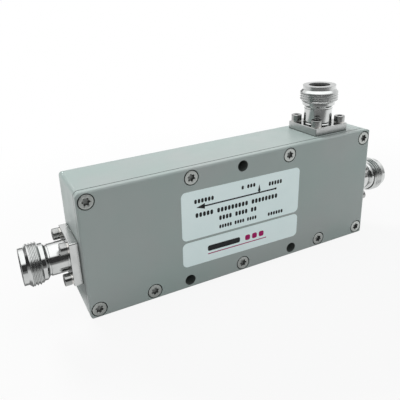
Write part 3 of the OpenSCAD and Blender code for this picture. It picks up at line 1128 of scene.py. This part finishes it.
@dataclass(frozen=True)
class Screw:
    """A machine screw with a round head, its axis along Z and its seat at zero."""

    drive: Drive
    head_r: float
    head_h: float
    shank_r: float
    shank_l: float
    recess_w: float
    recess_deep: float
    edge_r: float
    steps: int = 72
    edge_steps: int = 5
    seat_steps: int = 2
    seat_share: float = 0.3
    point_share: float = 0.2
    rim_share: float = 0.78
    lip: float = 0.06
    lip_wide: float = 1.06
    points: int = 6
    lobe_mean: float = 0.86
    lobe_swing: float = 0.14
    wall_share: float = 0.97
    floor_share: float = 0.53
    floor_deep: float = 0.12
    floor_dull: float = 0.7

    def add(self, bm: BMesh, place: Matrix) -> None:
        """Adds one screw to a mesh.

        Args:
            bm: Mesh to add to, in millimetres.
            place: Frame of the screw, Z out of its head.
        """
        own = bmesh.new()
        rim_r = self.head_r * self.rim_share
        point = self.shank_r * self.point_share
        outline = [
            (0.0, -self.shank_l),
            (self.shank_r - point, -self.shank_l),
            (self.shank_r, point - self.shank_l),
            (self.shank_r, 0.0),
            (self.head_r, 0.0),
            (self.head_r, self.head_h),
            (rim_r, self.head_h),
        ]
        *_, seat_edge, top_edge, _ = wire(own, outline)[0]
        soften(own, [top_edge], self.edge_r, self.edge_steps, corners=True)
        soften(own, [seat_edge], self.edge_r * self.seat_share, self.seat_steps, corners=True)
        turn(own, own.verts[:], self.steps)
        weld(own)
        top = [v for v in own.verts if abs(v.co.z - self.head_h) < WELD]
        top = [v for v in top if abs(v.co.xy.length - rim_r) < WELD]
        self._recess(own, rim_edges(top))
        bmesh.ops.recalc_face_normals(own, faces=own.faces[:])
        mark_axial(own)
        self._mark_dull(own)
        bmesh.ops.transform(own, matrix=place, verts=own.verts[:])
        holder = bpy.data.meshes.new("screw")
        own.to_mesh(holder)
        own.free()
        bm.from_mesh(holder)
        bpy.data.meshes.remove(holder)

    def _recess(self, bm: BMesh, rim: list[BMEdge]) -> None:
        """Sinks the driver recess, ring by ring, from the rim of the head's flat top.

        Args:
            bm: Mesh of the screw.
            rim: Edges round the flat top.
        """
        wall = self.head_h - self.recess_deep
        levels = (
            (self.lip_wide, self.head_h),
            (1.0, self.head_h - self.lip),
            (self.wall_share, wall),
            (self.floor_share, wall - self.recess_w * self.floor_deep),
        )
        for share, height in levels:
            grown = bmesh.ops.extrude_edge_only(bm, edges=rim)["geom"]
            verts = [g for g in grown if isinstance(g, BMVert)]
            for vert in verts:
                angle = math.atan2(vert.co.y, vert.co.x)
                radius = share * self._recess_r(angle)
                vert.co = (radius * math.cos(angle), radius * math.sin(angle), height)
            rim = rim_edges(verts)
        bmesh.ops.contextual_create(bm, geom=rim)

    def _recess_r(self, angle: float) -> float:
        """Works out the radius of the recess.

        Args:
            angle: Angle round the screw's axis.

        Returns:
            The radius at that angle.
        """
        half = self.recess_w / 2
        if self.drive is Drive.SIX_LOBE:
            return half * (self.lobe_mean + self.lobe_swing * math.cos(self.points * angle))
        side = FULL_TURN / self.points
        return half / math.cos((angle % side) - side / 2)

    def _mark_dull(self, bm: BMesh) -> None:
        """Marks the walls of the recess, which full dullness makes darker as painted shade, and its lighter
        floor.

        Args:
            bm: Mesh of the screw.
        """
        layer = bm.verts.layers.float.new(DULL_AND_SHADE)
        for vert in bm.verts:
            sunk = 0.0 < vert.co.z < self.head_h - self.lip / 2
            inside = sunk and vert.co.xy.length < self.recess_w / 2 * self.lip_wide
            bottom = vert.co.z < self.head_h - self.recess_deep - WELD
            # Full dullness on the recess walls makes them darker as painted shade.
            vert[layer] = 0.0 if not inside else self.floor_dull if bottom else 1.0


CAP_SCREW = Screw(
    Drive.HEX_SOCKET,
    head_r=2.25,
    head_h=2.5,
    shank_r=1.25,
    shank_l=8.0,
    recess_w=2.0,
    recess_deep=1.2,
    edge_r=0.35,
    steps=48,
)
COVER_SCREW = Screw(
    Drive.SIX_LOBE,
    head_r=2.7,
    head_h=2.0,
    shank_r=1.5,
    shank_l=10.0,
    recess_w=3.2,
    recess_deep=1.2,
    edge_r=0.14,
)


@dataclass
class FlangeScrews:
    """Twelve socket head screws, four in each flange, standing on their lock washers."""

    screw: Screw = CAP_SCREW
    seat: float = 4.0

    def build(self, finish: Material) -> Object:
        """Models the twelve screws.

        Args:
            finish: Steel of the screws.

        Returns:
            The piece with all screws.
        """
        bm = screw_group()
        for port in Port:
            frame = port_frame(port)
            for x, y in Jack(port).screw_places():
                self.screw.add(bm, frame @ Matrix.Translation((x, y, self.seat)))
        return make_piece("flange_screw_set", bm, finish, ("flange_screws",))


@dataclass
class CoverScrews:
    """Nine six-lobe screws, sunk flush in the cover."""

    screw: Screw = COVER_SCREW
    inset: float = 3.6
    top_x: float = 22.5
    bottom_x: float = 40.1
    counterbore_r: float = 3.1
    turn_each: float = 0.7

    def places(self) -> list[Spot]:
        """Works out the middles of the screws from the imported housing.

        Returns:
            Places on the front face, the upper row first.
        """
        low, high = node_box("housing")
        end = high.x - self.inset
        top = [(x, high.z - self.inset) for x in (-end, -self.top_x, self.top_x, end)]
        bottom = [(x, low.z + self.inset) for x in (-end, -self.bottom_x, 0.0, self.bottom_x, end)]
        return top + bottom

    def counterbores(self) -> tuple[Point, ...]:
        """Returns the place on the front face and the radius of each counterbore."""
        return tuple((x, z, self.counterbore_r) for x, z in self.places())

    def build(self, finish: Material) -> Object:
        """Models the nine screws, each turned further than the one before.

        Args:
            finish: Steel of the screws.

        Returns:
            The piece with all screws.
        """
        seat = node_box("cover")[0].y + self.screw.head_h
        bm = screw_group()
        for count, (x, z) in enumerate(self.places()):
            place = Matrix.Translation((x, seat, z)) @ Matrix.Rotation(QUARTER_TURN, 4, "X")
            self.screw.add(bm, place @ Matrix.Rotation(count * self.turn_each, 4, "Z"))
        return make_piece("cover_screw_set", bm, finish, ("cover_screws",))


@dataclass(frozen=True)
class PrintRow:
    """A row of small plain blocks on a label, in groups with wider gaps between them."""

    left: float
    right: float
    middle: float
    height: float
    groups: tuple[int, ...]
    group_gap: float = 0.9
    fill: float = 0.74

    def blocks(self) -> list[Spot]:
        """Works out the blocks of the row.

        Returns:
            The left and right end of each block.
        """
        pitch = (self.right - self.left) / (sum(self.groups) + self.group_gap * (len(self.groups) - 1))
        found = []
        spot = self.left
        for count in self.groups:
            found += [(spot + i * pitch, spot + (i + self.fill) * pitch) for i in range(count)]
            spot += (count + self.group_gap) * pitch
        return found


# Left end, right end, middle, height and groups of each row on the upper label.
UPPER_ROWS = (
    PrintRow(-22.0, -13.2, 16.2, 1.8, (6,)),
    PrintRow(-1.0, 5.8, 17.5, 1.6, (1, 3)),
    PrintRow(12.0, 18.8, 16.4, 1.8, (5,)),
    PrintRow(-21.6, 16.8, 10.4, 2.0, (5, 9, 8)),
    PrintRow(-11.2, 6.6, 6.9, 2.0, (4, 4, 2)),
    PrintRow(-11.2, 6.6, 3.1, 1.6, (5, 4, 4)),
    PrintRow(12.0, 19.8, 2.8, 1.6, (6,)),
)


@dataclass
class Labels:
    """The two pale labels and the plain marks printed on them."""

    length: float = 55.0
    upper_h: float = 20.2
    lower_h: float = 10.5
    gap: float = 1.0
    gap_z: float = 20.4
    tilt: float = 0.8
    corner_r: float = 2.0
    edge_r: float = 0.05
    edge_steps: tuple[int, int] = (10, 2)
    film: float = 0.13
    ink: float = 0.02
    stroke_round: float = 0.3
    stroke_steps: int = 3
    path_z: float = 13.65
    path_left: float = -21.2
    path_right: float = 15.9
    path_w: float = 0.6
    head_l: float = 3.7
    head_w: float = 2.3
    head_lap: float = 0.8
    tap_x: float = 7.4
    tap_h: float = 3.6
    tap_w: float = 1.3
    tap_head: float = 0.8
    tap_stem: float = 0.4
    dot_w: float = 0.9
    badge_y: float = -5.2
    badge_h: float = 2.4
    badge_left: float = -16.5
    badge_right: float = -1.5
    squares: int = 3
    square_left: float = 1.0
    square_pitch: float = 1.4
    line_right: float = 11.5
    line_w: float = 0.4

    def frame(self) -> Matrix:
        """Works out the frame of the label plane.

        Returns:
            The frame: X along the label, Y up, Z out of the cover.
        """
        place = Matrix.Translation((0.0, node_box("cover")[0].y, self.gap_z))
        tilted = Matrix.Rotation(math.radians(self.tilt), 4, "Y")
        return place @ tilted @ Matrix.Rotation(QUARTER_TURN, 4, "X")

    def build(self, finishes: Finishes) -> None:
        """Models both labels and their print.

        Args:
            finishes: The part's materials.
        """
        self._film("label_upper", self.upper_h, (self.gap + self.upper_h) / 2, finishes.label)
        self._film("label_lower", self.lower_h, -(self.gap + self.lower_h) / 2, finishes.label)
        self._dark_print(finishes.ink)
        self._colour_print(finishes.plum)

    def _film(self, node: str, height: float, middle: float, finish: Material) -> None:
        """Models one label with round corners and a fine rounded edge.

        Args:
            node: Node that the label stands for.
            height: Height of the label.
            middle: Place of its middle on the label plane.
            finish: Label stock.
        """
        bm = bmesh.new()
        size = (self.length, height, self.film)
        round_plate(bm, size, (middle, 0.0), self.corner_r, self.edge_r, self.edge_steps)
        bmesh.ops.transform(bm, matrix=self.frame(), verts=bm.verts[:])
        make_piece(node + "_film", bm, finish, (node,))

    def _stroke(self, bm: BMesh, left: float, right: float, middle: float, width: float) -> None:
        """Adds a printed bar with round ends.

        Args:
            bm: Mesh of the print.
            left: Left end.
            right: Right end.
            middle: Place up the label.
            width: Width of the bar.
        """
        size = (right - left, width, self.ink)
        block = bar(bm, size, ((left + right) / 2, middle, self.film + self.ink / 2))
        soften(bm, upright_edges(block), width * self.stroke_round, self.stroke_steps)

    def _wedge(self, bm: BMesh, place: Matrix, length: float, width: float) -> None:
        """Adds a printed arrow head.

        Args:
            bm: Mesh of the print.
            place: Frame with the point at its origin and the head along its X.
            length: Length of the head.
            width: Width of the head.
        """
        made = bmesh.ops.create_circle(bm, cap_ends=True, radius=1.0, segments=3)["verts"]
        bmesh.ops.transform(bm, matrix=Matrix.Rotation(QUARTER_TURN, 4, "Z"), verts=made)
        # A triangle in a circle of radius 1 is 1.5 long and the root of 3 wide.
        stretch = Matrix.Diagonal((length / 1.5, width / math.sqrt(3), 1.0, 1.0))
        bmesh.ops.transform(bm, matrix=stretch @ Matrix.Translation(X_AXIS), verts=made)
        grown = bmesh.ops.extrude_face_region(bm, geom=list(made[0].link_faces))["geom"]
        upper = [g for g in grown if isinstance(g, BMVert)]
        bmesh.ops.translate(bm, vec=(0.0, 0.0, self.ink), verts=upper)
        bmesh.ops.transform(bm, matrix=place, verts=made + upper)

    def _dark_print(self, finish: Material) -> None:
        """Prints the signal path with its arrow, the tap, rows of plain blocks and a bar.

        Args:
            finish: Dark ink.
        """
        bm = bmesh.new()
        path = self.path_z
        self._stroke(bm, self.path_left + self.head_l * self.head_lap, self.path_right, path, self.path_w)
        self._wedge(bm, Matrix.Translation((self.path_left, path, self.film)), self.head_l, self.head_w)
        self._stroke(bm, self.path_right - self.dot_w, self.path_right, path, self.dot_w)
        peak = Matrix.Translation((self.tap_x, path + self.tap_h, self.film))
        peak = peak @ Matrix.Rotation(-QUARTER_TURN, 4, "Z")
        self._wedge(bm, peak, self.tap_h * self.tap_head, self.tap_w)
        half = self.path_w / 2
        stem = self.tap_h * self.tap_stem
        self._stroke(bm, self.tap_x - half, self.tap_x + half, path + stem / 2, stem)
        for row in UPPER_ROWS:
            for left, right in row.blocks():
                self._stroke(bm, left, right, row.middle, row.height)
        self._stroke(bm, self.badge_left, self.badge_right, self.badge_y, self.badge_h)
        self._lay("label_marks", bm, finish)

    def _colour_print(self, finish: Material) -> None:
        """Prints three plain coloured squares and a thin line on the lower label.

        Args:
            finish: Coloured ink.
        """
        bm = bmesh.new()
        for count in range(self.squares):
            left = self.square_left + count * self.badge_h * self.square_pitch
            self._stroke(bm, left, left + self.badge_h, self.badge_y, self.badge_h)
        self._stroke(bm, self.badge_left, self.line_right, self.badge_y - self.badge_h, self.line_w)
        self._lay("label_stripe", bm, finish)

    def _lay(self, name: str, bm: BMesh, finish: Material) -> None:
        """Lays print on the labels.

        Args:
            name: Name of the piece.
            bm: Mesh of the print, in the label plane.
            finish: Ink.
        """
        bmesh.ops.recalc_face_normals(bm, faces=bm.faces[:])
        bmesh.ops.transform(bm, matrix=self.frame(), verts=bm.verts[:])
        make_piece(name, bm, finish)


class PackedPieces:
    """Lock washers, lines, supports and load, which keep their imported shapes."""

    def dress(self, nodes: dict[str, Object], finishes: Finishes) -> None:
        """Gives each of them its finish.

        Args:
            nodes: The frame's nodes by name.
            finishes: The part's materials.
        """
        dress_nodes(nodes, ("lock_washers", "load_screws"), finishes.washer)
        dress_nodes(nodes, ("main_line", "coupled_line", "load_tab"), finishes.line)
        dress_nodes(nodes, ("line_supports",), finishes.insulator)
        dress_nodes(nodes, ("load_base",), finishes.copper)
        dress_nodes(nodes, ("load_chip",), finishes.ceramic)


@dataclass(frozen=True)
class Lamp:
    """A square soft lamp that no reflection shows: its place, its side and its watts."""

    name: str
    place: Point
    size: float
    power: float

    def build(self, aim: Point) -> None:
        """Adds the lamp.

        Args:
            aim: Place that it faces.
        """
        data = bpy.data.lights.new(self.name, "AREA")
        data.size = self.size
        data.energy = self.power
        lamp = bpy.data.objects.new(self.name, data)
        lamp.visible_glossy = False
        facing = (Vector(self.place) - Vector(aim)).to_track_quat("Z", "Y")
        lamp.matrix_world = Matrix.Translation(self.place) @ facing.to_matrix().to_4x4()
        bpy.context.scene.collection.objects.link(lamp)


@dataclass
class Studio:
    """Pale floor, soft lamps, world light and the camera at the picture's angle."""

    # Camera: turns in degrees, the origin seen from it in millimetres, and its picture in pixels.
    yaw: float = 23.156
    pitch: float = 19.760
    roll: float = -3.654
    aim: Point = (28.347, 202.293, -42.141)
    focal_px: float = 454.34
    centre_px: Spot = (163.26, 161.43)
    frame_px: float = 400.0
    sensor: float = 36.0
    clip: float = 0.005

    lamps: tuple[Lamp, ...] = (
        Lamp("key_lamp", (-0.24, 0.74, 0.46), 0.26, 9.3),
        Lamp("top_lamp", (-0.06, 0.10, 0.80), 0.70, 1.8),
    )
    lamp_aim: Point = (0.0, 0.0, 0.025)
    dark_room: float = 0.055

    # Floor: how white it is to the camera away from the part, and how it gleams in reflections.
    floor_size: float = 6.0
    floor_cells: int = 8
    floor_drop: float = 0.0001
    floor_grey: float = 0.50
    clear: Ramp = Ramp(0.10, 0.24, 0.90, 1.0)
    near_dark: Ramp = Ramp(0.09, 0.15, 0.0, 0.80)
    gleam: Ramp = Ramp(-0.05, 0.20, 1.36, 1.75)
    gleam_share: float = 0.7
    # Painted shadows on the floor in reflections: a patch left-behind the part and a band in front of it.
    shadow_place: Point = (-0.090, 0.032, 0.0)
    shadow: Ramp = Ramp(0.032, 0.040, 0.08, 1.0)
    contact_shadow_front: Ramp = Ramp(-0.030, -0.020)
    contact_shadow_back: Ramp = Ramp(-0.012, -0.006, 1.0, 0.0)
    contact_shadow_ends: Ramp = Ramp(0.062, 0.068, 1.0, 0.0)
    contact: Ramp = Ramp(0.0, 1.0, 1.0, 0.45)

    # World: the walls that reflections show, the bright ceiling, and the fill light on dull surfaces.
    left_wall: Ramp = Ramp(0.34, 0.44, 0.3, 1.38)
    left_side: Ramp = Ramp(0.2, 0.6, 1.0, 0.0)
    right_wall: Ramp = Ramp(0.2, 0.6, 0.0, 1.05)
    open_side: Ramp = Ramp(0.05, 0.30, 1.0, 0.0)
    ceiling: Ramp = Ramp(0.58, 0.74)
    sky: float = 2.05
    fill_from: Point = (0.6, -0.75, 0.3)
    fill: Ramp = Ramp(-0.2, 0.9, 0.31, 0.96)

    def build(self) -> None:
        """Sets up camera, floor, world and lamps."""
        towards = self._camera()
        self._floor(towards)
        self._world(towards)
        for lamp in self.lamps:
            lamp.build(self.lamp_aim)
        bpy.context.scene.view_settings.view_transform = "Standard"

    def _camera(self) -> Vector:
        """Adds the camera.

        Returns:
            The level direction from the part towards it.
        """
        turn_z = Matrix.Rotation(math.radians(self.yaw), 3, "Z")
        turn_x = Matrix.Rotation(math.radians(self.pitch), 3, "X")
        turn_y = Matrix.Rotation(math.radians(self.roll), 3, "Y")
        seen = turn_y @ turn_x @ turn_z
        place = -(seen.transposed() @ Vector(self.aim)) * MM
        data = bpy.data.cameras.new("camera")
        data.sensor_width = self.sensor
        data.lens = self.focal_px / self.frame_px * self.sensor
        data.shift_x = 0.5 - self.centre_px[0] / self.frame_px
        data.shift_y = self.centre_px[1] / self.frame_px - 0.5
        data.clip_start = self.clip
        camera = bpy.data.objects.new("camera", data)
        turned = seen.transposed() @ Matrix.Rotation(QUARTER_TURN, 3, "X")
        camera.matrix_world = Matrix.Translation(place) @ turned.to_4x4()
        bpy.context.scene.collection.objects.link(camera)
        bpy.context.scene.camera = camera
        return Vector((place.x, place.y, 0.0)).normalized()

    def _floor(self, towards: Vector) -> None:
        """Adds the floor.

        Args:
            towards: Level direction from the part towards the camera.
        """
        bm = bmesh.new()
        cells = self.floor_cells
        bmesh.ops.create_grid(bm, x_segments=cells, y_segments=cells, size=self.floor_size / 2)
        mesh = bpy.data.meshes.new("floor")
        bm.to_mesh(mesh)
        bm.free()
        mesh.materials.append(self._floor_white(towards))
        floor = bpy.data.objects.new("floor", mesh)
        floor.location.z = -self.floor_drop
        bpy.context.scene.collection.objects.link(floor)

    def _floor_white(self, towards: Vector) -> Material:
        """Makes the floor white to the camera with a faint shadow, and dark in reflections near the camera.

        Args:
            towards: Level direction from the part towards the camera.

        Returns:
            The floor's material.
        """
        material = bpy.data.materials.new("floor_white")
        bench = NodeBench(material)
        spot = bench.add("ShaderNodeTexCoord").outputs["Object"]
        path = bench.add("ShaderNodeLightPath").outputs
        clear = bench.step(bench.away(spot, ORIGIN), self.clear)
        shown = bench.combine("MULTIPLY", path["Is Camera Ray"], clear)
        near = bench.step(bench.along(spot, towards), self.near_dark)
        hidden = bench.combine("MULTIPLY", path["Is Glossy Ray"], near)
        share = bench.combine("MULTIPLY", path["Is Glossy Ray"], self.gleam_share)
        matt = bench.add("ShaderNodeBsdfDiffuse", {"Color": (self.floor_grey,) * 3 + (1.0,)})
        dark = bench.add("ShaderNodeBsdfDiffuse", {"Color": (self.dark_room,) * 3 + (1.0,)})
        white = bench.add("ShaderNodeEmission", {"Color": WHITE, "Strength": 1.0})
        bright = bench.add("ShaderNodeEmission", {"Color": WHITE})
        bench.join(self._floor_gleam(bench, spot), bright.inputs["Strength"])
        mirrored = bench.blend(hidden, bench.blend(share, matt, bright), dark)
        output = bench.add("ShaderNodeOutputMaterial")
        bench.join(bench.blend(shown, mirrored, white).outputs[0], output.inputs["Surface"])
        return material

    def _floor_gleam(self, bench: NodeBench, spot: NodeSocket) -> NodeSocket:
        """Works out how bright the floor is in reflections, with two painted shadows of the part.

        Args:
            bench: Node tree of the floor.
            spot: Place on the floor.

        Returns:
            The brightness.
        """
        across = bench.along(spot, X_AXIS)
        depth = bench.along(spot, Y_AXIS)
        lit = bench.step(across, self.gleam)
        # Painted shadows: a patch left-behind the part and a band in front of it darken the floor in
        # reflections.
        lit = bench.combine("MULTIPLY", lit, bench.step(bench.away(spot, self.shadow_place), self.shadow))
        shadow_strip = bench.combine(
            "MULTIPLY", bench.step(depth, self.contact_shadow_front), bench.step(depth, self.contact_shadow_back)
        )
        ends = bench.step(bench.combine("ABSOLUTE", across), self.contact_shadow_ends)
        shadow_strip = bench.combine("MULTIPLY", shadow_strip, ends)
        return bench.combine("MULTIPLY", lit, bench.step(shadow_strip, self.contact))

    def _world(self, towards: Vector) -> None:
        """Sets a white surround, a fill light, and for reflections walls, a ceiling and a dark camera side.

        Args:
            towards: Level direction from the part towards the camera.
        """
        world = bpy.data.worlds.new("studio")
        bpy.context.scene.world = world
        bench = NodeBench(world)
        ray = bench.add("ShaderNodeTexCoord").outputs["Generated"]
        path = bench.add("ShaderNodeLightPath").outputs
        across = bench.along(ray, X_AXIS)
        rise = bench.along(ray, Z_AXIS)
        left = bench.combine("MULTIPLY", bench.step(rise, self.left_wall), bench.step(across, self.left_side))
        back = bench.combine("ADD", left, bench.step(across, self.right_wall))
        back = bench.combine("MULTIPLY", back, bench.step(bench.along(ray, towards), self.open_side))
        wall = bench.combine("MAXIMUM", back, self.dark_room)
        filling = bench.step(bench.along(ray, self.fill_from), self.fill)
        white = bench.add("ShaderNodeBackground", {"Color": WHITE, "Strength": 1.0})
        above = bench.add("ShaderNodeBackground", {"Color": WHITE, "Strength": self.sky})
        around = bench.add("ShaderNodeBackground", {"Color": WHITE})
        bench.join(wall, around.inputs["Strength"])
        fill = bench.add("ShaderNodeBackground", {"Color": WHITE})
        bench.join(filling, fill.inputs["Strength"])
        mirrored = bench.blend(bench.step(rise, self.ceiling), around, above)
        lit = bench.blend(path["Is Glossy Ray"], fill, mirrored)
        seen = bench.combine("MAXIMUM", path["Is Camera Ray"], path["Is Transmission Ray"])
        output = bench.add("ShaderNodeOutputWorld")
        bench.join(bench.blend(seen, lit, white).outputs[0], output.inputs["Surface"])


def main() -> None:
    """Builds the dressed part and its studio."""
    logging.basicConfig(level=logging.INFO)
    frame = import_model()
    nodes = frame["nodes"]
    housing = Housing()
    cover_screws = CoverScrews()
    finishes = Finishes(PaintFinish(cover_screws.counterbores(), housing.holes(), housing.joint()))
    housing.dress(nodes, finishes.paint)
    for port in Port:
        jack = Jack(port)
        jack.build(finishes.plate)
        jack.dress(nodes, finishes)
    FlangeScrews().build(finishes.cap_steel)
    cover_screws.build(finishes.cover_steel)
    Labels().build(finishes)
    PackedPieces().dress(nodes, finishes)
    Studio().build()


if __name__ == "__main__":
    main()
